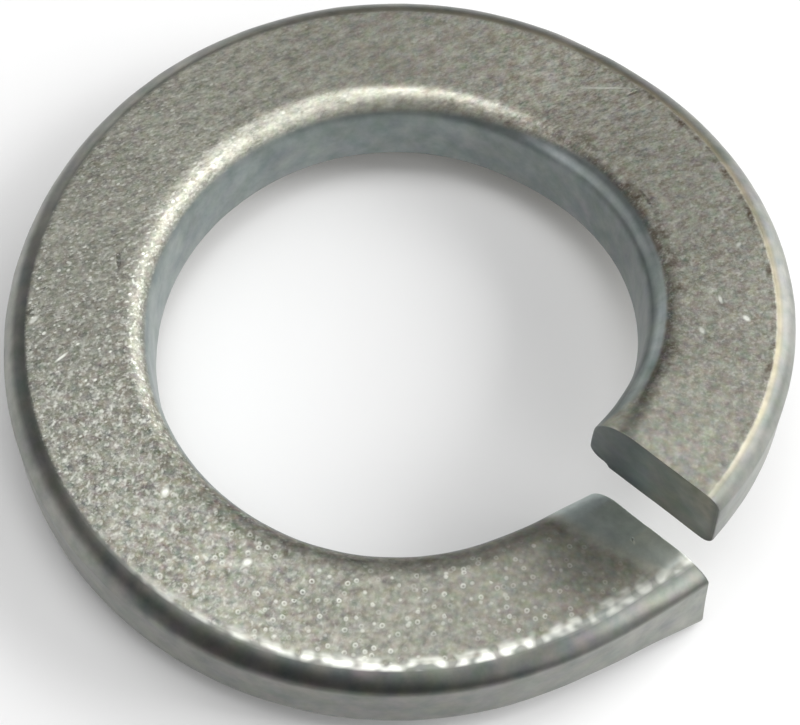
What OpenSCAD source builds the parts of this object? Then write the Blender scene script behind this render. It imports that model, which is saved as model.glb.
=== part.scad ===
// Spring lock washer: one turn of flat wire, cut across, with its two ends sprung apart.
// The bore runs along +Z. The lowest point of the washer is at Z = 0.
// Seen from above, the coil climbs clockwise, which bites on a right-hand thread.

/* [Washer] */
// Diameter of the bore that the bolt passes through
bore_d = 20.4; // [20.2:0.1:21.2]
// Width of the wire, from the bore to the rim
wire_w = 6.1; // [5:0.1:7.5]
// Thickness of the wire
wire_t = 3.9; // [3.4:0.1:5]

/* [Edges] */
// Rounding of the upper edges, at the bore and at the rim
upper_edge_r = 1.1; // [0.6:0.1:1.4]
// Rounding of the lower edges, which the coiling left sharper
lower_edge_r = 0.6; // [0.3:0.1:0.9]

/* [Spring] */
// Even climb of the coil over the whole turn
coil_rise = 0.65; // [0:0.05:1.5]
// Extra height to which the upper end springs up
upper_lift = 4.25; // [2.5:0.05:5]
// Angle over which the upper end springs up
upper_lift_span = 100; // [60:5:140]
// Extra depth to which the lower end is bent down
lower_drop = 1.2; // [0:0.05:1.5]
// Angle over which the lower end is bent down
lower_drop_span = 27; // [15:1:60]

/* [Cut] */
// Direction of the cut, seen from above and counted from +X
cut_angle = -41; // [-90:1:90]
// Gap between the two cut ends, seen from above and measured at the rim
cut_gap = 0.1; // [0.1:0.1:2]
// Lean of the upper end's cut face, whose foot lies back in the wire
upper_face_lean = 2.6; // [0:0.2:6]
// Lean of the lower end's cut face, whose foot lies back in the wire
lower_face_lean = 4.4; // [0:0.2:6]
// Spread that the shear left at the foot of the lower end's rim
shear_spread = 0.6; // [0:0.1:1]
// Angle over which the shear spread the rim
shear_spread_span = 20; // [10:1:40]

/* [Quality] */
// Angle between two neighbouring sections of the coil
section_step = 3; // [2:0.5:6]
// Number of flats round each rounded edge
edge_flats = 4; // [2:1:6]

/* [Hidden] */

// How sharply each bend gathers towards its end
UPPER_BEND_POWER = 1.4;
LOWER_BEND_POWER = 1.5;
// How far the rough coil reaches into the bore before the bore is cut, and its angle to the bore's wall
BORE_STOCK = 0.15;
BORE_STOCK_ANGLE = 18;
// Angle over which a leaning cut face blends into the upright sections behind it
LEAN_SPAN = 12;
// Faces of the bore's cutter, and how far it passes the washer at each end
BORE_FACES = 180;
BORE_PASS = 2;

bore_r = bore_d / 2;
rim_r = bore_r + wire_w;
gap_angle = 2 * asin(cut_gap / 2 / rim_r);
turn = 360 - gap_angle;
start_angle = cut_angle + gap_angle / 2;
steps = ceil(turn / section_step);
total_h = lower_drop + coil_rise + upper_lift + wire_t;

// Share of a bend that is reached at a distance from its end: 1 at the end, 0 where the bend begins
function bend(distance, span, power) = pow(max(0, 1 - distance / span), power);

// Height of the wire's underside at an angle behind the upper end
function underside(behind) =
    lower_drop
    + coil_rise * (1 - behind / turn)
    + upper_lift * bend(behind, upper_lift_span, UPPER_BEND_POWER)
    - lower_drop * bend(turn - behind, lower_drop_span, LOWER_BEND_POWER);

// One rounded edge: points on an arc round a centre
function edge_arc(centre_r, centre_z, radius, from, to) = [
    for (k = [0 : edge_flats])
        let (a = from + (to - from) * k / edge_flats)
        [centre_r + radius * cos(a), centre_z + radius * sin(a)]
];

// Where an edge at the bore runs on past the wall, so that the bore cuts it cleanly
function bore_stock(radius, wall_z, side) =
    let (
        reach = BORE_STOCK + radius * (1 - cos(BORE_STOCK_ANGLE)),
        drop = radius * sin(BORE_STOCK_ANGLE) - reach / tan(BORE_STOCK_ANGLE)
    )
    [[bore_r - BORE_STOCK, wall_z + side * drop]];

// The wire's section as [radius, height], counter-clockwise from the foot of the bore's wall
wire_section = concat(
    bore_stock(lower_edge_r, lower_edge_r, -1),
    edge_arc(bore_r + lower_edge_r, lower_edge_r, lower_edge_r, 180 + BORE_STOCK_ANGLE, 270),
    edge_arc(rim_r - lower_edge_r, lower_edge_r, lower_edge_r, 270, 360),
    edge_arc(rim_r - upper_edge_r, wire_t - upper_edge_r, upper_edge_r, 0, 90),
    edge_arc(bore_r + upper_edge_r, wire_t - upper_edge_r, upper_edge_r, 90, 180 - BORE_STOCK_ANGLE),
    bore_stock(upper_edge_r, wire_t - upper_edge_r, 1)
);

// Outward push that the shear gave to a point: most at the foot of the rim, none at the bore or the top
function spread(p, behind) =
    shear_spread
    * bend(turn - behind, shear_spread_span, LOWER_BEND_POWER)
    * max(0, (p[0] - bore_r) / wire_w)
    * (1 - p[1] / wire_t);

// Distance by which a leaning cut face takes a point back into the wire
function lean_back(p, behind) =
    (wire_t - p[1]) * (
        tan(upper_face_lean) * bend(behind, LEAN_SPAN, 1)
        - tan(lower_face_lean) * bend(turn - behind, LEAN_SPAN, 1)
    );

// A point of the section, placed on the coil at an angle behind the upper end
function on_coil(p, behind) =
    let (
        a = start_angle + behind,
        r = p[0] + spread(p, behind),
        back = lean_back(p, behind)
    )
    [r * cos(a) - back * sin(a), r * sin(a) + back * cos(a), p[1] + underside(behind)];

// The wire swept round its turn, with stock left in the bore
module rough_coil() {
    count = len(wire_section);
    points = [
        for (i = [0 : steps])
            for (p = wire_section)
                on_coil(p, turn * i / steps)
    ];
    sides = [
        for (i = [0 : steps - 1])
            for (j = [0 : count - 1])
                let (
                    here = i * count + j,
                    next = i * count + (j + 1) % count
                )
                [here, next, next + count, here + count]
    ];
    upper_face = [for (j = [count - 1 : -1 : 0]) j];
    lower_face = [for (j = [0 : count - 1]) steps * count + j];
    polyhedron(points, concat([upper_face, lower_face], sides), convexity = 4);
}

// The washer, with its bore cut true
module spring_washer() {
    color([0.62, 0.62, 0.58])
    difference() {
        rough_coil();
        translate([0, 0, -BORE_PASS])
            cylinder(h = total_h + 2 * BORE_PASS, r = bore_r, $fn = BORE_FACES);
    }
}

spring_washer();
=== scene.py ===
from math import cos, pi, radians, sin

import bmesh
import bpy
import numpy as np
from mathutils import Matrix, Vector


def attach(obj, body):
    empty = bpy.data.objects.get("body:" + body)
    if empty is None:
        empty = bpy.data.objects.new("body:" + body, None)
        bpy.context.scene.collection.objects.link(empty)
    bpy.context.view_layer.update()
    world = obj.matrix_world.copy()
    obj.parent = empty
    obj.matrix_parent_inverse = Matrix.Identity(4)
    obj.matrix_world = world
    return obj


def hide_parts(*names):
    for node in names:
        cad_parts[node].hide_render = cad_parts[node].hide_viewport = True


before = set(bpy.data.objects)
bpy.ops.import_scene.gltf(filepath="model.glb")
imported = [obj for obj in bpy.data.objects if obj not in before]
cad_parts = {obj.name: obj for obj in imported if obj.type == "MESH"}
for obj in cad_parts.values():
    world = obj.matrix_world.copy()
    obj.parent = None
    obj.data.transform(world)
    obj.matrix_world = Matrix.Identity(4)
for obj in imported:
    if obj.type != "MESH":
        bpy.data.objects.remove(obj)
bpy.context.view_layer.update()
MM = 0.001

# The washer: flat spring-steel wire with rounded edges, coiled once round a mandrel, sheared across and
# set so that its ends spring apart. A blasted zinc coating covers it, and the sheared ends stay smooth
# and dark. It is one piece, swept from the wire's section. Its sizes are the CAD's, less 0.02 mm of width.
BORE_R = 10.2 * MM
WIRE_W = 6.08 * MM
WIRE_T = 3.9 * MM
UPPER_EDGE_R = 1.1 * MM
LOWER_EDGE_R = 0.6 * MM
RIM_R = BORE_R + WIRE_W
MIDDLE_R = BORE_R + WIRE_W / 2

# Each rounded edge is cut into short flats, and each straight run, which is the only kind of edge longer
# than 1 mm, as finely as the grain needs
UPPER_EDGE_FLATS = 14
LOWER_EDGE_FLATS = 8
FLAT_CUTS = 30
UNDERSIDE_CUTS = 36
WALL_CUTS = 16
FOOT = 0.01 * MM
STRAIGHT = 1 * MM


def choose(piece, elements, test):
    """Selects, in edit mode, only the vertices or edges whose middle passes the test."""
    mesh = bmesh.from_edit_mesh(piece.data)
    bpy.ops.mesh.select_all(action="DESELECT")
    for element in getattr(mesh, elements):
        if elements == "verts":
            element.select = test(element.co, element)
        else:
            first, last = element.verts
            element.select_set(test((first.co + last.co) / 2, element))
    mesh.select_flush_mode()
    bmesh.update_edit_mesh(piece.data)


bpy.ops.object.select_all(action="DESELECT")
middle = (MIDDLE_R, 0, WIRE_T / 2)
bpy.ops.mesh.primitive_plane_add(size=1, location=middle, rotation=(pi / 2, 0, 0))
washer = bpy.context.object
washer.name = washer.data.name = "zinc_coated_washer"
washer.scale = (WIRE_W, WIRE_T, 1)
bpy.ops.object.transform_apply(location=True, rotation=True, scale=True)

bpy.ops.object.mode_set(mode="EDIT")
bpy.ops.mesh.select_mode(type="VERT")
choose(washer, "verts", lambda place, _: place.z > WIRE_T / 2)
bpy.ops.mesh.bevel(offset=UPPER_EDGE_R, segments=UPPER_EDGE_FLATS, affect="VERTICES")
choose(washer, "verts", lambda place, _: place.z < FOOT)
bpy.ops.mesh.bevel(offset=LOWER_EDGE_R, segments=LOWER_EDGE_FLATS, affect="VERTICES")
bpy.ops.mesh.select_all(action="SELECT")
bpy.ops.mesh.delete(type="ONLY_FACE")
bpy.ops.mesh.select_mode(type="EDGE")
TOP, BOTTOM = 0.9 * WIRE_T, 0.1 * WIRE_T
choose(washer, "edges", lambda place, edge: edge.calc_length() > STRAIGHT and place.z > TOP)
bpy.ops.mesh.subdivide(number_cuts=FLAT_CUTS)
choose(washer, "edges", lambda place, edge: edge.calc_length() > STRAIGHT and place.z < BOTTOM)
bpy.ops.mesh.subdivide(number_cuts=UNDERSIDE_CUTS)
choose(washer, "edges", lambda place, edge: edge.calc_length() > STRAIGHT)
bpy.ops.mesh.subdivide(number_cuts=WALL_CUTS)
bpy.ops.object.mode_set(mode="OBJECT")

# One Screw coils the section, and leaves room at both ends for the small rounding that the shear and the
# coating gave the cuts. Each end is then closed by rings that draw in along an arc, and by a face.
CUT_ANGLE = radians(-41)
CUT_GAP = 0.1 * MM
CUT_EDGE_R = 0.06 * MM
CUT_EDGE_RINGS = 4
COIL_RISE = 0.65 * MM
COIL_STEPS = 636
MERGE_WITHIN = 0.0001 * MM
turn = 2 * pi - CUT_GAP / RIM_R
edge_angle = CUT_EDGE_R / MIDDLE_R

washer.data.transform(Matrix.Rotation(edge_angle, 4, "Z"))
coil = washer.modifiers.new("Coil", "SCREW")
coil.angle = turn - 2 * edge_angle
coil.screw_offset = -COIL_RISE
coil.steps = coil.render_steps = COIL_STEPS
coil.use_merge_vertices = False
bpy.ops.object.modifier_apply(modifier=coil.name)

bpy.ops.object.mode_set(mode="EDIT")
bpy.ops.mesh.select_mode(type="EDGE")
for side, height in ((1, 0), (-1, -COIL_RISE)):
    centre = Vector((MIDDLE_R, 0, WIRE_T / 2 + height))
    choose(washer, "edges", lambda place, edge: edge.is_boundary and place.y * side > 0)
    inset, reach = 0, 0
    for ring in range(1, CUT_EDGE_RINGS + 1):
        swing = pi / 2 * ring / CUT_EDGE_RINGS
        step_in = CUT_EDGE_R * (1 - cos(swing)) - inset
        step_on = CUT_EDGE_R * sin(swing) - reach
        swung_by = side * step_on / MIDDLE_R
        bpy.ops.mesh.spin(steps=1, angle=swung_by, center=(0, 0, 0), axis=(0, 0, 1))
        narrower = 1 - 2 * step_in / (WIRE_W - 2 * inset)
        lower = 1 - 2 * step_in / (WIRE_T - 2 * inset)
        bpy.ops.transform.resize(value=(narrower, 1, lower), center_override=centre)
        inset += step_in
        reach += step_on
    bpy.ops.mesh.edge_face_add()
    bpy.ops.mesh.inset(thickness=CUT_EDGE_R)
bpy.ops.mesh.select_all(action="SELECT")
bpy.ops.mesh.remove_doubles(threshold=MERGE_WITHIN)
bpy.ops.mesh.normals_make_consistent(inside=False)
bpy.ops.object.mode_set(mode="OBJECT")

# The ends are set after coiling: the upper one springs up, the lower one is bent down and its rim was
# spread by the shear. These bends are the ones of the CAD model, so both have the same form. The smaller
# marks of the shear are the scene's own: a burr, a crushed edge, and the uncurled and proud lower end.
UPPER_LIFT = 4.25 * MM
UPPER_LIFT_SPAN = radians(100)
UPPER_BEND_POWER = 1.4
LOWER_DROP = 1.2 * MM
LOWER_DROP_SPAN = radians(27)
LOWER_BEND_POWER = 1.5
UPPER_FACE_LEAN = radians(2.6)
LOWER_FACE_LEAN = radians(4.4)
LEAN_SPAN = radians(12)
SHEAR_SPREAD = 0.58 * MM
SHEAR_SPREAD_SPAN = radians(20)
BURR_DEPTH = 0.22 * MM
BURR_SPAN = 0.5 * MM
BURR_START_R = 10.95 * MM
BURR_FULL_R = BURR_START_R + 0.15 * MM
BURR_FULL_H = 0.1 * MM
BURR_END_H = 0.9 * MM
CRUSHED_EDGE_R = 1.7 * MM
CRUSHED_SPAN = 3.2 * MM
CRUSHED_POWER = 1.5
CRUSHED_REACH = 3.0 * MM
UNCURL = 0.3 * MM
UNCURL_SPAN = 3.0 * MM
UNCURL_POWER = 2
PROUD = 0.14 * MM
PROUD_SPAN = 2.5 * MM
THROAT_FOOT = -0.1 * MM
THROAT_TOP = {90: 0.26, 150: 0.21, 180: 0.17, 210: 0.2, 260: 0.26}
THROAT_POWER = 2.2
THROAT_REACH = 2.6 * MM
SHOULDER_REACH = 2.6 * MM


def bend(distance, span, power):
    """Share of a bend that is reached: 1 at the wire's end, 0 where the bend begins."""
    return np.maximum(0, 1 - distance / span) ** power


def ramp(value, low, high):
    """Soft step from 0 at low to 1 at high."""
    share = np.clip((value - low) / (high - low), 0, 1)
    return share * share * (3 - 2 * share)


def round_turn(shares):
    """A share that changes round the turn, given at some angles in degrees from +X."""
    return np.interp(angle, np.radians(list(shares)), list(shares.values()))


# Each point is known by its angle behind the upper end and ahead of the lower one, by its radius and height
# in the coiled wire, and by how level the surface is there
steel = washer.data
count = len(steel.vertices)
places = np.empty(count * 3)
steel.vertices.foreach_get("co", places)
places = places.reshape(-1, 3)
radius = np.hypot(places[:, 0], places[:, 1])
slack = CUT_GAP / RIM_R / 2  # keeps the wrap of the angle clear of the end faces
behind = (np.arctan2(places[:, 1], places[:, 0]) + slack) % (2 * pi) - slack
normals = np.empty(count * 3)
steel.vertex_normals.foreach_get("vector", normals)
level = np.abs(normals.reshape(-1, 3)[:, 2])
ahead = turn - behind
angle = CUT_ANGLE + CUT_GAP / RIM_R / 2 + behind
coiled = np.clip((behind - edge_angle) / (turn - 2 * edge_angle), 0, 1)
height = places[:, 2] + COIL_RISE * coiled
across = (radius - BORE_R) / WIRE_W
lowness = 1 - height / WIRE_T

# The shear crushed the upper end's inner edge rounder
crushed = bend(behind * radius, CRUSHED_SPAN, CRUSHED_POWER)
edge_r = UPPER_EDGE_R + (CRUSHED_EDGE_R - UPPER_EDGE_R) * crushed


def rounded_again(distance):
    """Where a point this far from the bore's upper corner goes when the rounding's radius changes."""
    stretch = (CRUSHED_REACH - edge_r) / (CRUSHED_REACH - UPPER_EDGE_R)
    beside = edge_r + (distance - UPPER_EDGE_R) * stretch
    moved = np.where(distance < UPPER_EDGE_R, distance * edge_r / UPPER_EDGE_R, beside)
    near = 1 - ramp(radius - BORE_R, CRUSHED_REACH * 0.7, CRUSHED_REACH)
    here = (height > LOWER_EDGE_R) & (distance < CRUSHED_REACH)
    return np.where(here, distance + (moved - distance) * near, distance)


from_bore, from_above = rounded_again(radius - BORE_R), rounded_again(WIRE_T - height)
radius, height = BORE_R + from_bore, WIRE_T - from_above

# Rolling left the rim's upper rounding flatter than an arc, and lower than it is wide on the near side
SHOULDER_FLATNESS = {
    -38: 0.3, 5: 0.25, 50: 0.25, 65: 0.12, 130: 0.12,
    165: 0.35, 205: 0.4, 235: 0.25, 268: 0.2, 319: 0.25,
}
SHOULDER_WIDTH = {
    -41: 0.62, -30: 0.78, 5: 0.84, 50: 0.88, 130: 0.95,
    180: 0.98, 235: 1, 268: 1.03, 300: 1.1, 319: 1.2,
}
SHOULDER_DEPTH = {
    -41: 0.5, -30: 0.6, 5: 0.62, 50: 0.8, 90: 1, 180: 1,
    205: 0.9, 235: 0.68, 268: 0.57, 300: 0.55, 319: 0.52,
}
SHOULDER_FOOT = 3.0 * MM
outward, upward = radius - (RIM_R - UPPER_EDGE_R), height - (WIRE_T - UPPER_EDGE_R)
swung, off_centre = np.arctan2(upward, outward) * 2 / pi, np.hypot(outward, upward)
arc = (outward > 0) & (upward > 0)
flatness = np.where(arc, round_turn(SHOULDER_FLATNESS), 0)
height = height + flatness * (off_centre * swung - upward)
from_rim = UPPER_EDGE_R - outward - flatness * (off_centre * (1 - swung) - outward)
from_top = WIRE_T - height
deep = UPPER_EDGE_R * round_turn(SHOULDER_DEPTH)
stretch = (SHOULDER_FOOT - deep) / (SHOULDER_FOOT - UPPER_EDGE_R)
below = deep + (from_top - UPPER_EDGE_R) * stretch
sunk = np.where(from_top < UPPER_EDGE_R, from_top * deep / UPPER_EDGE_R, below)
height = WIRE_T - np.where((radius > MIDDLE_R) & (from_top < SHOULDER_FOOT), sunk, from_top)
wide = UPPER_EDGE_R * round_turn(SHOULDER_WIDTH)
stretch = (SHOULDER_REACH - wide) / (SHOULDER_REACH - UPPER_EDGE_R)
beyond = wide + (from_rim - UPPER_EDGE_R) * stretch
widened = np.where(from_rim < UPPER_EDGE_R, from_rim * wide / UPPER_EDGE_R, beyond)
shoulder_here = (upward > 0) & (from_rim < SHOULDER_REACH)
radius = RIM_R - np.where(shoulder_here, widened, RIM_R - radius)

# Coiling drew the bore's wall in at its foot and let it open towards the top, and the lower end uncurls
# a little. Then every point takes its place on the sprung coil.
throat_top = round_turn(THROAT_TOP) * MM
risen = np.clip(height / WIRE_T, 0, 1) ** THROAT_POWER
throat = THROAT_FOOT + (throat_top - THROAT_FOOT) * risen
throat *= 1 - ramp(radius - BORE_R, UPPER_EDGE_R, THROAT_REACH)
radius = radius + throat + UNCURL * bend(ahead * MIDDLE_R, UNCURL_SPAN, UNCURL_POWER)
spread = SHEAR_SPREAD * bend(ahead, SHEAR_SPREAD_SPAN, LOWER_BEND_POWER) * across * lowness
lean = (WIRE_T - height) * (
    np.tan(UPPER_FACE_LEAN) * bend(behind, LEAN_SPAN, 1)
    - np.tan(LOWER_FACE_LEAN) * bend(ahead, LEAN_SPAN, 1)
)
lean += PROUD * bend(ahead * MIDDLE_R, PROUD_SPAN, 1) * height / WIRE_T
lift = (
    LOWER_DROP
    + COIL_RISE * (1 - behind / turn)
    + UPPER_LIFT * bend(behind, UPPER_LIFT_SPAN, UPPER_BEND_POWER)
    - LOWER_DROP * bend(ahead, LOWER_DROP_SPAN, LOWER_BEND_POWER)
)
burr = BURR_DEPTH * bend(behind * radius, BURR_SPAN, 1)
burr = burr * ramp(radius, BURR_START_R, BURR_FULL_R) * (1 - ramp(height, BURR_FULL_H, BURR_END_H))
radius = radius + spread
placed = np.stack([
    radius * np.cos(angle) - lean * np.sin(angle),
    radius * np.sin(angle) + lean * np.cos(angle),
    height + lift - burr,
], axis=1)
steel.vertices.foreach_set("co", placed.ravel())
steel.update()

# Where the blasting left its grain, and where the shear wiped it smooth, kept as values on the surface.
# The grain covers the upper flat and goes down the bore's rounding to a slope given in degrees. The
# rim's rounding, the walls and the cut faces are smooth, and the shear wiped the lower end aslant.
GRAIN_FROM = {-41: 76, -36: 60, -27: 34, 40: 34, 65: 62, 90: 74}
GRAIN_FADE = radians(18)
WIPED_FROM, WIPED_FROM_SLANT = 3.4 * MM, 2.2 * MM
WIPED_FULL, WIPED_FULL_SLANT = 2.1 * MM, 1.7 * MM
CUT_FACE = 0.005 * MM
upper = height > WIRE_T / 2
inner = across < 0.5
flat = ramp(level, cos(radians(30)), cos(radians(14)))
rim_share = from_rim / UPPER_EDGE_R


def sloping(least, full_from, full_to, most):
    """Share of a rounding whose slope from level lies between angles in degrees, with soft limits."""
    gentle = ramp(level, cos(radians(full_from)), cos(radians(least)))
    not_steep = ramp(level, cos(radians(most)), cos(radians(full_to)))
    return (1 - gentle) * not_steep * upper


steepest = np.radians(round_turn(GRAIN_FROM))
on_bore = ramp(level, np.cos(steepest), np.cos(steepest - GRAIN_FADE))
grained = np.where(inner, on_bore, ramp(rim_share, 0.88, 1.02))
wiped = ramp(
    ahead * MIDDLE_R, WIPED_FROM - WIPED_FROM_SLANT * across, WIPED_FULL - WIPED_FULL_SLANT * across
)
wiped *= (height > WIRE_T * 0.8) * ramp(rim_share, 0.75, 0.95)
on_cut = np.minimum(behind, ahead) * MIDDLE_R < CUT_FACE
grained = grained * (1 - 0.95 * wiped) * (1 - on_cut)


def keep(name, values):
    """Stores one number for each point of the washer, for its material."""
    attribute = steel.attributes.new(name, "FLOAT", "POINT")
    attribute.data.foreach_set("value", values.astype(np.float32))


# How the finish changes round the turn, as shares at angles in degrees. On the grained faces it has fine
# and soft grain, painted glints of zinc (flakes, spots and glints), round dents of the blasting with
# painted highlights on their rims, tints and brown flecks. Then come the wire's streaks, the painted
# highlight on the bore's edge, painted beads of light, the rim's painted warm light, and a brown tint
# with painted shade.
FINISH = {
    "fine": {
        -38: 0.1, 5: 0.7, 50: 0.85, 90: 0.35, 130: 0.7,
        180: 1.1, 205: 0.9, 235: 0.25, 268: 0.1, 319: 0.05,
    },
    "soft": {
        -38: 0.45, 5: 0.75, 50: 0.6, 90: 0.45, 180: 0.6,
        205: 0.9, 235: 0.9, 268: 0.7, 300: 0.4,
    },
    "painted_flakes": {
        -38: 0.05, 5: 0.5, 50: 0.45, 90: 0.1, 130: 0.45,
        180: 1.1, 205: 0.9, 235: 0.3, 268: 0.1, 300: 0.03,
    },
    "painted_spots": {
        -38: 0.1, 5: 0.35, 50: 0.2, 130: 0.1, 180: 0.25,
        200: 0.8, 235: 0.6, 268: 0.15, 300: 0.05,
    },
    "glinting": {
        -38: 0.05, 5: 0.4, 90: 0.12, 130: 0.4, 180: 0.9,
        205: 0.8, 235: 0.4, 268: 0.1, 300: 0,
    },
    "dents_with_painted_rims": {190: 0, 205: 0.2, 235: 1, 268: 0.9, 300: 0.4, 319: 0.1},
    "tinted": {-38: 0.7, 50: 0.8, 130: 0.5, 180: 0.4, 205: 0.6, 235: 0.9, 268: 0.5, 300: 0.65},
    "flecked": {-38: 0.2, 5: 0.6, 50: 1, 90: 0.6, 130: 0.2, 180: 0, 268: 0.1, 319: 0.3},
}
STREAKED = {-30: 0, 5: 0.3, 50: 1, 130: 1, 180: 0.6, 205: 0.2, 235: 0}
PAINTED_EDGE_HIGHLIGHT = {-38: 0.2, 5: 0.1, 50: 0.6, 90: 1, 130: 0.6, 155: 0.2, 205: 0, 319: 0}
PAINTED_BEADS = {-30: 0.1, 5: 0.05, 50: 0, 205: 0.1, 235: 0.4, 262: 0.9, 290: 0.87, 305: 0.62, 319: 0.5}
PAINTED_WARM_LIGHT = {-38: 0.6, -20: 1, 50: 1, 110: 0.3, 180: 0, 300: 0, 319: 0.15}
BORE_BROWN_AND_SHADE = {
    -38: 0, -28: 0.9, 5: 1.5, 40: 1.3, 60: 0.3, 90: 0,
    180: 0.1, 205: 0.6, 235: 0.5, 268: 0.3, 319: 0.1,
}
RIM_BROWN_AND_SHADE = {-41: 0, -30: 0.8, -15: 1.7, 40: 1.7, 60: 1, 80: 0}
for name, shares in FINISH.items():
    keep(name, round_turn(shares) * grained * (flat if name in ("dents_with_painted_rims", "painted_spots") else 1))
beside_bore = 1 - ramp(radius - BORE_R, 1.35 * MM, 1.9 * MM)
beside_rim = ramp(rim_share, 0.9, 1) * (1 - ramp(rim_share, 1.08, 1.25))

# A band of painted shade runs along the rim's rounding, between two lines given as shares of the rounding's
# width. The painted beads of light begin where it ends.
BAND_FROM = {-30: 0.2, 5: 0.35, 50: 0.2, 130: 0.1, 165: 0.42, 205: 0.42, 235: 0.1, 260: -0.2}
BAND_TO = {5: 0.8, 90: 0.9, 150: 0.97, 205: 0.97, 235: 0.86, 268: 0.77, 298: 0.74, 319: 0.62}
band_from, band_to = round_turn(BAND_FROM), round_turn(BAND_TO)
painted_bead_band = ramp(rim_share, band_to - 0.07, band_to + 0.07) * (1 - ramp(rim_share, 1.1, 1.3))
painted_rim_shade = ramp(rim_share, band_from - 0.15, band_from + 0.15)
painted_rim_shade *= 1 - ramp(rim_share, band_to - 0.09, band_to + 0.09)
painted_rim_shade *= 1 - ramp(from_top, 0.9 * MM, 1.3 * MM)
keep("grained", grained)
keep("streaked", round_turn(STREAKED))
keep("painted_edge_highlight", sloping(4, 16, 35, 55) * inner * round_turn(PAINTED_EDGE_HIGHLIGHT) * (1 - wiped))
keep("beaded", painted_bead_band * upper * round_turn(PAINTED_BEADS))
# Brown tint with painted shade: darker brown along the bore's rounding on the right and near side, and
# along the rim's flat edge on the right
brown_and_painted_shade = beside_bore * round_turn(BORE_BROWN_AND_SHADE) + beside_rim * round_turn(RIM_BROWN_AND_SHADE)
keep("brown_and_painted_shade", brown_and_painted_shade * grained * upper)
keep("rimward", ramp(across, 0.2, 0.8) * (1 - wiped))
keep("painted_warm_light", ramp(rim_share, 0.58, 0.82) * (1 - inner) * round_turn(PAINTED_WARM_LIGHT))

# Painted light and shade in the coating's brightness, surface by surface, as it changes round the turn: the
# grained flat and the walls are painted paler or darker where the light falls more or less, the bore's
# rounding has painted highlights and shade, and the rim's rounding and the foot of the cuts painted shade.
# On the right, a painted dark crease and a painted pale fold run along the bore's rounding. The wiped end
# is the brightest metal, and looks dark by what it reflects.
FLAT_PAINTED_LIGHT = {
    -38: 0.8, 5: 1.08, 50: 1.07, 90: 0.96, 130: 1.03, 155: 0.95,
    180: 0.84, 235: 0.98, 268: 0.96, 300: 0.77, 319: 0.82,
}
BORE_SHOULDER_PAINTED_LIGHT = {60: 1, 90: 1.12, 130: 0.94, 155: 0.84, 180: 0.77, 205: 0.8, 268: 1}
BORE_ROUNDING_PAINTED_LIGHT = {
    -41: 1.35, -36: 1, 60: 1, 90: 1.32, 130: 1.05,
    180: 1.05, 205: 1.05, 235: 0.8, 268: 0.7, 319: 0.8,
}
PAINTED_PALE_FOLD = {-41: 0, -32: 0.6, 42: 0.6, 60: 0}
PAINTED_CREASE_SHADE = {-41: 0, -36: 0.2, -27: 0.58, 45: 0.56, 65: 0.1, 80: 0}
RIM_BAND_PAINTED_SHADE = {
    -30: 0.7, 5: 0.64, 50: 0.7, 90: 0.85, 130: 0.75,
    180: 0.52, 205: 0.52, 235: 0.56, 268: 0.57, 295: 0.52, 319: 0.4,
}
BORE_WALL_PAINTED_LIGHT = {-41: 0.74, -25: 0.88, 5: 0.85, 50: 0.86, 90: 0.97, 130: 1.15, 180: 1.38, 235: 1, 319: 1}
RIM_WALL_PAINTED_LIGHT = {
    -41: 0.74, -38: 1.1, -25: 1.2, 5: 1.26, 60: 1.12, 150: 1.05,
    180: 1.14, 205: 1.06, 235: 0.85, 268: 0.71, 300: 1, 319: 1.25,
}
WIPED_TONE = 2.3
CUT_FOOT_SPAN = 0.45 * MM
walls = np.where(inner, round_turn(BORE_WALL_PAINTED_LIGHT), round_turn(RIM_WALL_PAINTED_LIGHT))
tone_and_painted_light = grained * round_turn(FLAT_PAINTED_LIGHT) + (1 - grained) * walls
# Painted highlights and shade on the bore's rounding: its gentle shoulder and its steeper part are darkened
# or lightened round the turn
tone_and_painted_light *= 1 - sloping(2, 9, 26, 38) * inner * (1 - round_turn(BORE_SHOULDER_PAINTED_LIGHT))
tone_and_painted_light *= 1 - sloping(24, 38, 66, 84) * inner * (1 - round_turn(BORE_ROUNDING_PAINTED_LIGHT))
# Painted light and shade: a pale fold and a dark crease along the bore's rounding on the right
tone_and_painted_light *= 1 + sloping(40, 48, 56, 66) * inner * round_turn(PAINTED_PALE_FOLD)
tone_and_painted_light *= 1 - sloping(10, 16, 25, 34) * inner * round_turn(PAINTED_CREASE_SHADE)
# Painted shade: the band along the rim's rounding is darker
tone_and_painted_light *= 1 - painted_rim_shade * (1 - round_turn(RIM_BAND_PAINTED_SHADE))
tone_and_painted_light = tone_and_painted_light + wiped * (WIPED_TONE - tone_and_painted_light)
# Painted shade at the foot: darker at the foot of each cut, and up to a quarter darker at the foot of every
# wall
tone_and_painted_light *= 1 - 0.4 * (1 - ramp(height, 0.15 * MM, 0.6 * MM)) * (behind * MIDDLE_R < CUT_FOOT_SPAN)
tone_and_painted_light *= 1 - 0.25 * (1 - ramp(height, 0.1 * MM, 0.5 * MM))
keep("tone_and_painted_light", tone_and_painted_light)

# Slow waves all over and medium grain on the blasted faces are real relief. Everything finer is in the
# material, because no mesh of this size could hold it.
LEAST_GRAIN = 0.06
group = washer.vertex_groups.new(name="grained")
for index, share in enumerate(np.maximum(grained, LEAST_GRAIN)):
    group.add([index], float(share), "REPLACE")
for name, size, depth, members in (("Waves", 1.6, 0.03, ""), ("Grain", 0.34, 0.014, "grained")):
    pattern = bpy.data.textures.new(name, "CLOUDS")
    pattern.noise_scale = size * MM
    pattern.noise_depth = 1
    relief = washer.modifiers.new(name, "DISPLACE")
    relief.texture = pattern
    relief.texture_coords = "LOCAL"
    relief.mid_level = 1
    relief.strength = depth * MM
    relief.vertex_group = members
    bpy.ops.object.modifier_apply(modifier=name)


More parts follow.
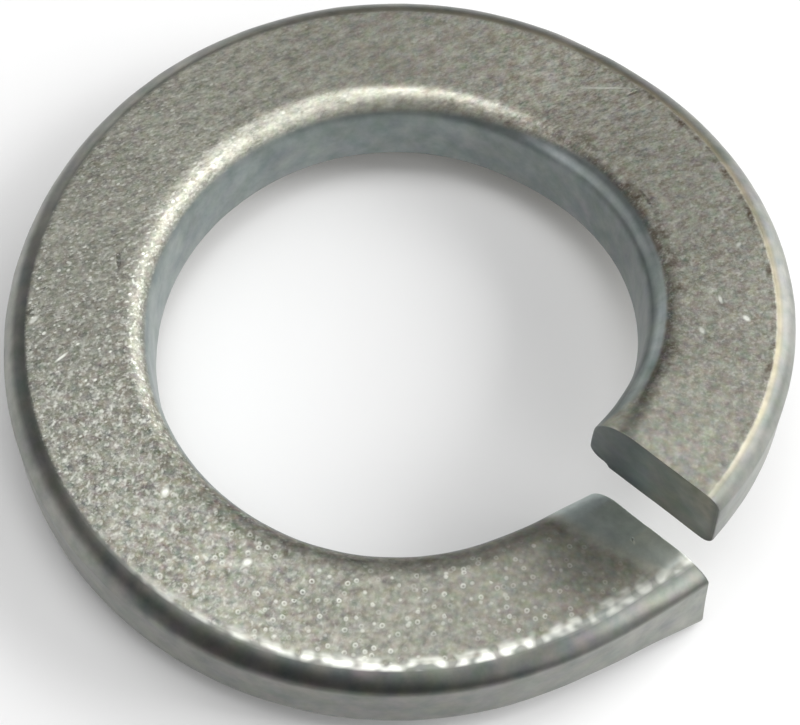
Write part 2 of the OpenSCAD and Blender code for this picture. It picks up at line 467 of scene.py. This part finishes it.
def node(tree, kind, wires=None, out=0, **settings):
    """Adds a node, sets its fields, fills or wires its inputs, and gives back one of its outputs."""
    made = tree.nodes.new("ShaderNode" + kind)
    for name, value in settings.items():
        setattr(made, name, value)
    for socket, value in (wires or {}).items():
        if isinstance(value, bpy.types.NodeSocket):
            tree.links.new(value, made.inputs[socket])
        else:
            made.inputs[socket].default_value = value
    return made.outputs[out] if made.outputs else made


def linear(code):
    """Turns an sRGB hex colour into the linear colour that a shader takes."""
    shares = [int(code[i : i + 2], 16) / 255 for i in (1, 3, 5)]
    return [s / 12.92 if s <= 0.04045 else ((s + 0.055) / 1.055) ** 2.4 for s in shares] + [1]


def per(size):
    """The scale at which a pattern's cells have this size in millimetres."""
    return 1 / (size * MM)


# Zinc on spring steel, plated in a tumbling barrel and blasted with fine shot. To the eye it is a dull
# olive-grey metal whose crystals glint, and bluer and smoother on the bore's wall and on the cuts.
zinc = bpy.data.materials.new("blasted_zinc_on_spring_steel")
zinc.use_nodes = True
tree = zinc.node_tree
tree.nodes.clear()
place = node(tree, "TexCoord", out="Object")
NAMES = (*FINISH, "grained", "streaked", "painted_edge_highlight", "beaded", "brown_and_painted_shade", "rimward", "painted_warm_light", "tone_and_painted_light")
share = {name: node(tree, "Attribute", out="Fac", attribute_name=name) for name in NAMES}

# Streaks of the drawn wire run up to the right at 26 degrees, and are nearly twice as long as wide
STREAK = {"Vector": place, "Rotation": (0, 0, radians(26)), "Scale": (1.8, 1, 1)}
streaks = node(tree, "Mapping", STREAK, vector_type="TEXTURE")
grains = {}
for name, size, detail in (("fine", 0.11, 2), ("soft", 0.34, 1), ("painted_flakes", 0.15, 2)):
    wires = {"Scale": per(size), "Detail": detail, "Roughness": 0.6}
    plain = node(tree, "TexNoise", {"Vector": place, **wires})
    drawn = node(tree, "TexNoise", {"Vector": streaks, **wires})
    grains[name] = node(tree, "Mix", {0: share["streaked"], 2: plain, 3: drawn})

# Painted glints: flakes, spots and glints, 0.15 to 0.3 mm long, painted near white where crystals of zinc
# face the light
FLAKE = {"From Min": 0.53, "From Max": 0.72, "To Max": 0.75}
painted_flake = node(tree, "MapRange", {"Value": grains["painted_flakes"], **FLAKE})
painted_flake = node(tree, "Math", {0: painted_flake, 1: share["painted_flakes"]}, operation="MULTIPLY")
STEEP = {"Vector": place, "Rotation": (0, 0, radians(66)), "Scale": (1.2, 1, 1)}
steep = node(tree, "Mapping", STEEP, vector_type="TEXTURE")
painted_spot = node(tree, "TexNoise", {"Vector": steep, "Scale": per(0.2), "Detail": 1, "Roughness": 0.5})
painted_spot = node(tree, "MapRange", {"Value": painted_spot, "From Min": 0.54, "From Max": 0.74, "To Max": 0.85})
painted_spot = node(tree, "Math", {0: painted_spot, 1: share["painted_spots"]}, operation="MULTIPLY")
SHORT = {"Vector": place, "Rotation": (0, 0, radians(35)), "Scale": (1.5, 1, 1)}
short = node(tree, "Mapping", SHORT, vector_type="TEXTURE")
crystal = node(tree, "TexVoronoi", {"Vector": short, "Scale": per(0.2)})
luck = node(tree, "SeparateColor", {"Color": crystal.node.outputs["Color"]})
reach = node(tree, "MapRange", {"Value": luck.node.outputs[1], "To Min": 0.2, "To Max": 0.42})
glint = node(tree, "Math", {0: reach, 1: crystal}, operation="SUBTRACT")
glint = node(tree, "MapRange", {"Value": glint, "From Max": 0.2})
chosen = node(tree, "MapRange", {"Value": luck, "From Min": 0.35})
glint = node(tree, "Math", {0: glint, 1: chosen}, operation="MULTIPLY")
glint = node(tree, "Math", {0: glint, 1: share["glinting"]}, operation="MULTIPLY")

# Shot left round dents about 0.2 mm across: their hollows are real relief, and the shine on their rims is
# a painted highlight. No two have quite the same outline.
wobble = node(tree, "TexNoise", {"Vector": place, "Scale": per(0.2)}, out="Color")
wobble = node(tree, "VectorMath", {0: wobble, "Scale": 0.05 * MM}, operation="SCALE")
uneven = node(tree, "VectorMath", {0: place, 1: wobble}, operation="ADD")
dents = node(tree, "TexVoronoi", {"Vector": uneven, "Scale": per(0.35)})
luck = node(tree, "SeparateColor", {"Color": dents.node.outputs["Color"]})
rim = node(tree, "Math", {0: dents, 1: 0.23}, operation="SUBTRACT")
rim = node(tree, "Math", {0: rim}, operation="ABSOLUTE")
rim = node(tree, "MapRange", {"Value": rim, "From Min": 0.16, "From Max": 0.02, "To Max": 0.7})
dents_with_painted_rims = node(tree, "MapRange", {"Value": luck, "From Min": 0.1, "To Max": 0.9})
dents_with_painted_rims = node(tree, "Math", {0: dents_with_painted_rims, 1: share["dents_with_painted_rims"]}, operation="MULTIPLY")
rim = node(tree, "Math", {0: rim, 1: dents_with_painted_rims}, operation="MULTIPLY")

# Painted highlights along the near rim: the rounding is painted near white in a row of beads of light,
# about 0.4 mm apart
painted_bead = node(tree, "TexNoise", {"Vector": place, "Scale": per(0.42), "Detail": 0})
painted_bead = node(tree, "MapRange", {"Value": painted_bead, "From Min": 0.33, "From Max": 0.64, "To Max": 0.78})
painted_bead = node(tree, "Math", {0: painted_bead, 1: share["beaded"]}, operation="MULTIPLY")

# Marks of handling: a nick, a crack, a pit and scratches, which are dark, and painted highlights on bright
# crystals, scratches and knocks. Each has its middle, its half-length and its half-width in millimetres,
# its direction in degrees and its strength.
MARKS = (
    ("dark", -11.57, 2.63, 0.55, 0.13, 95, 0.55),
    ("dark", -15.08, 0.15, 0.26, 0.2, 30, 0.6),
    ("dark", 9.54, -9.47, 0.14, 0.08, 100, 0.5),
    ("dark", 10.3, 10.8, 0.4, 0.09, 25, 0.5),
    ("dark", 10.5, 5.05, 0.75, 0.1, -66, 0.5),
    ("bright", 9.1, 11.13, 1.5, 0.07, -3, 0.4),
    ("bright", 13.15, -0.5, 0.28, 0.1, 100, 0.8),
    ("bright", 14.12, -1.48, 0.24, 0.15, -50, 0.95),
    ("bright", 12.27, -2.14, 0.24, 0.14, 110, 0.6),
    ("bright", 14.15, 2.4, 0.2, 0.12, 60, 0.6),
    ("bright", -14.9, -0.2, 0.35, 0.14, 45, 0.7),
    ("bright", -13.64, -1.94, 0.42, 0.08, 43, 1),
    ("bright", -9.12, -7.97, 0.28, 0.2, 70, 1),
    ("bright", -5.76, -10.96, 0.26, 0.2, 30, 1),
    ("bright", 9.6, -9.6, 0.14, 0.07, 100, 0.6),
)
marks = {"dark": 0, "bright": 0}
for kind, x, y, half_length, half_width, direction, strength in MARKS:
    extent = (half_length * MM, half_width * MM, 1)
    wires = {"Location": (x * MM, y * MM, 0), "Rotation": (0, 0, radians(direction)), "Scale": extent}
    spot = node(tree, "Mapping", {"Vector": place, **wires}, vector_type="TEXTURE")
    spot = node(tree, "TexGradient", {"Vector": spot}, out="Fac", gradient_type="SPHERICAL")
    spot = node(tree, "MapRange", {"Value": spot, "From Max": 0.6, "To Max": strength})
    marks[kind] = node(tree, "Math", {0: marks[kind], 1: spot}, operation="MAXIMUM")
# All painted highlights together: glints, flakes, spots, dent rims, beads and bright marks
painted_highlights = glint
for bright in (painted_flake, painted_spot, rim, painted_bead, marks["bright"]):
    painted_highlights = node(tree, "Math", {0: painted_highlights, 1: bright}, operation="MAXIMUM")

# Relief in metres: the fine grain, the soft grain, the dents and the dark marks
hollow = node(tree, "MapRange", {"Value": dents, "From Min": 0.28, "From Max": 0.05})
relief = 0
for height_map, amount, depth in (
    (grains["fine"], share["fine"], 0.013 * MM),
    (grains["soft"], share["soft"], 0.018 * MM),
    (hollow, dents_with_painted_rims, -0.008 * MM),
    (marks["dark"], 1, -0.03 * MM),
):
    depth = node(tree, "Math", {0: amount, 1: depth}, operation="MULTIPLY")
    relief = node(tree, "Math", {0: height_map, 1: depth, 2: relief}, operation="MULTIPLY_ADD")
relief = node(tree, "Bump", {"Height": relief, "Distance": 1.0})

# Olive grey on the grained faces and bluer grey on the smooth bore and the cuts. Soft clouds, the grain's
# own contrast, the painted light and shade of the tone, the marks, faint tints and brown flecks vary it,
# and painted highlights lie over it.
bare = {0: share["rimward"], 6: linear("#848C8B"), 7: linear("#898B86")}
color = node(tree, "Mix", bare, out=2, data_type="RGBA")
# Painted warm light: the rim's rounding on the right, which faces the window, is tinted cream
color = node(tree, "Mix", {0: share["painted_warm_light"], 6: color, 7: linear("#98927E")}, out=2, data_type="RGBA")
color = node(tree, "Mix", {0: share["grained"], 6: color, 7: linear("#9E9E93")}, out=2, data_type="RGBA")
cloud = node(tree, "TexNoise", {"Vector": place, "Scale": per(2.2), "Detail": 5, "Roughness": 0.65})
CLOUDS = {"From Min": 0.3, "From Max": 0.7, "To Min": 0.88, "To Max": 1.11}
swing = node(tree, "MapRange", {"Value": cloud, **CLOUDS})
for name in ("fine", "soft"):
    contrast = node(tree, "Math", {0: share[name], 1: 1.8}, operation="MULTIPLY")
    centred = node(tree, "Math", {0: grains[name], 1: 0.5}, operation="SUBTRACT")
    swing = node(tree, "Math", {0: centred, 1: contrast, 2: swing}, operation="MULTIPLY_ADD")
smooth = node(tree, "Math", {0: 1, 1: share["grained"]}, operation="SUBTRACT")
mottle = node(tree, "TexNoise", {"Vector": place, "Scale": per(0.9), "Detail": 5, "Roughness": 0.6})
MOTTLE = {"From Min": 0.3, "From Max": 0.7, "To Min": -0.17, "To Max": 0.17}
mottle = node(tree, "MapRange", {"Value": mottle, **MOTTLE})
swing = node(tree, "Math", {0: mottle, 1: smooth, 2: swing}, operation="MULTIPLY_ADD")
swing = node(tree, "Math", {0: swing, 1: share["tone_and_painted_light"]}, operation="MULTIPLY")
# Painted highlight: the bore's upper edge is painted up to a quarter paler
painted_edge_gain = node(tree, "MapRange", {"Value": share["painted_edge_highlight"], "To Min": 1, "To Max": 1.25})
swing = node(tree, "Math", {0: swing, 1: painted_edge_gain}, operation="MULTIPLY")
darker = node(tree, "Math", {0: 1, 1: marks["dark"]}, operation="SUBTRACT")
swing = node(tree, "Math", {0: swing, 1: darker}, operation="MULTIPLY")
color = node(tree, "VectorMath", {0: color, "Scale": swing}, operation="SCALE")
for amount, size, most in ((share["tinted"], 0.36, 0.16), (smooth, 0.9, 0.05)):
    tint = node(tree, "TexNoise", {"Vector": place, "Scale": per(size), "Detail": 3}, out="Color")
    tint = node(tree, "VectorMath", {0: tint, 1: (0.5, 0.5, 0.5)}, operation="SUBTRACT")
    most = node(tree, "Math", {0: amount, 1: most}, operation="MULTIPLY")
    tint = node(tree, "VectorMath", {0: tint, "Scale": most}, operation="SCALE")
    color = node(tree, "VectorMath", {0: color, 1: tint}, operation="ADD")
BROWN_NOISE = {"Detail": 3, "Roughness": 0.7}
BROWN_LIMITS = {"From Min": 0.45, "From Max": 0.68, "To Max": 0.65}
for vector, size, amount, code in (
    (streaks, 0.3, share["flecked"], "#7A6A5A"),
    # brown tint with painted shade
    (place, 0.8, share["brown_and_painted_shade"], "#5E5346"),
):
    brown = node(tree, "TexNoise", {"Vector": vector, "Scale": per(size), **BROWN_NOISE})
    brown = node(tree, "MapRange", {"Value": brown, **BROWN_LIMITS})
    brown = node(tree, "Math", {0: brown, 1: amount}, operation="MULTIPLY")
    color = node(tree, "Mix", {0: brown, 6: color, 7: linear(code)}, out=2, data_type="RGBA")
# Painted highlights: the colour goes towards near white
color = node(tree, "Mix", {0: painted_highlights, 6: color, 7: linear("#F5F7EE")}, out=2, data_type="RGBA")
dulled = node(tree, "MapRange", {"Value": share["grained"], "To Min": 0.4, "To Max": 0.5})
dulled = node(tree, "Math", {0: share["painted_edge_highlight"], 1: -0.1, 2: dulled}, operation="MULTIPLY_ADD")
finish = {"Base Color": color, "Metallic": 1.0, "Roughness": dulled, "Normal": relief}
node(tree, "OutputMaterial", {"Surface": node(tree, "BsdfPrincipled", finish)})
steel.materials.append(zinc)

for face in steel.polygons:
    face.use_smooth = True

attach(washer, "root")
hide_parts("spring_washer")

# The floor is a sheet of matt white paper, wide enough to fill the picture. To the eye it is plain white
# and keeps only the washer's soft shadow.
bpy.ops.object.select_all(action="DESELECT")
bpy.ops.mesh.primitive_plane_add(size=4)
floor = bpy.context.object
floor.name = "floor"
paper = bpy.data.materials.new("white_paper")
paper.use_nodes = True
tree = paper.node_tree
tree.nodes.clear()
node(tree, "OutputMaterial", {"Surface": node(tree, "BsdfDiffuse", {"Color": linear("#F0F0F0")})})
floor.data.materials.append(paper)

# Soft studio light: twelve square boxes, with a ceiling above and a bright window on the right, all of
# which face the washer. Each has its azimuth and elevation in degrees, and the brightness of its face.
BOX_SIDE = 0.16
BOX_DISTANCE = 0.35
for name, azimuth, elevation, brightness in (
    ("ceiling", 0, 90, 4.2),
    ("ceiling_left", 180, 65, 1.2),
    ("ceiling_front", 300, 65, 1.2),
    ("window", 0, 40, 7.3),
    ("window_back", 45, 40, 2.5),
    ("window_front", 315, 40, 2.2),
    ("window_sill", 0, 15, 1.9),
    ("window_back_sill", 40, 15, 4.5),
    ("window_front_sill", 320, 15, 1.4),
    ("back", 120, 15, 1.7),
    ("left_back", 160, 15, 0.6),
    ("left", 200, 15, 1.7),
):
    box = bpy.data.lights.new(name, "AREA")
    box.size = BOX_SIDE
    box.energy = brightness * pi * BOX_SIDE * BOX_SIDE
    around, up = radians(azimuth), radians(elevation)
    stand = Vector((cos(up) * cos(around), cos(up) * sin(around), sin(up))) * BOX_DISTANCE
    lamp = bpy.data.objects.new(name, box)
    bpy.context.scene.collection.objects.link(lamp)
    lamp.location = stand
    lamp.rotation_euler = stand.to_track_quat("Z", "Y").to_euler()

world = bpy.data.worlds.new("studio")
bpy.context.scene.world = world
world.use_nodes = True
tree = world.node_tree
tree.nodes.clear()
background = node(tree, "Background", {"Color": (1, 1, 1, 1), "Strength": 0.18})
node(tree, "OutputWorld", {"Surface": background})

# The camera stands 62 degrees up, as in the photograph, a hand's breadth from the washer. Its place,
# aim, roll and lens were fitted to the washer's outlines.
CAMERA_PLACE = Vector((0, -48.041, 93.197)) * MM
CAMERA_AIM = Vector((0.2348, -1.1694, 3.475)) * MM
CAMERA_ROLL = radians(0.4536)
camera_data = bpy.data.cameras.new("camera")
camera_data.sensor_width = 36
camera_data.lens = 108.96
camera_data.clip_start = 0.01
camera = bpy.data.objects.new("camera", camera_data)
bpy.context.scene.collection.objects.link(camera)
turned = (CAMERA_AIM - CAMERA_PLACE).to_track_quat("-Z", "Y").to_matrix().to_4x4()
camera.matrix_world = Matrix.Translation(CAMERA_PLACE) @ turned @ Matrix.Rotation(CAMERA_ROLL, 4, "Z")
bpy.context.scene.camera = camera
bpy.context.scene.view_settings.view_transform = "Standard"
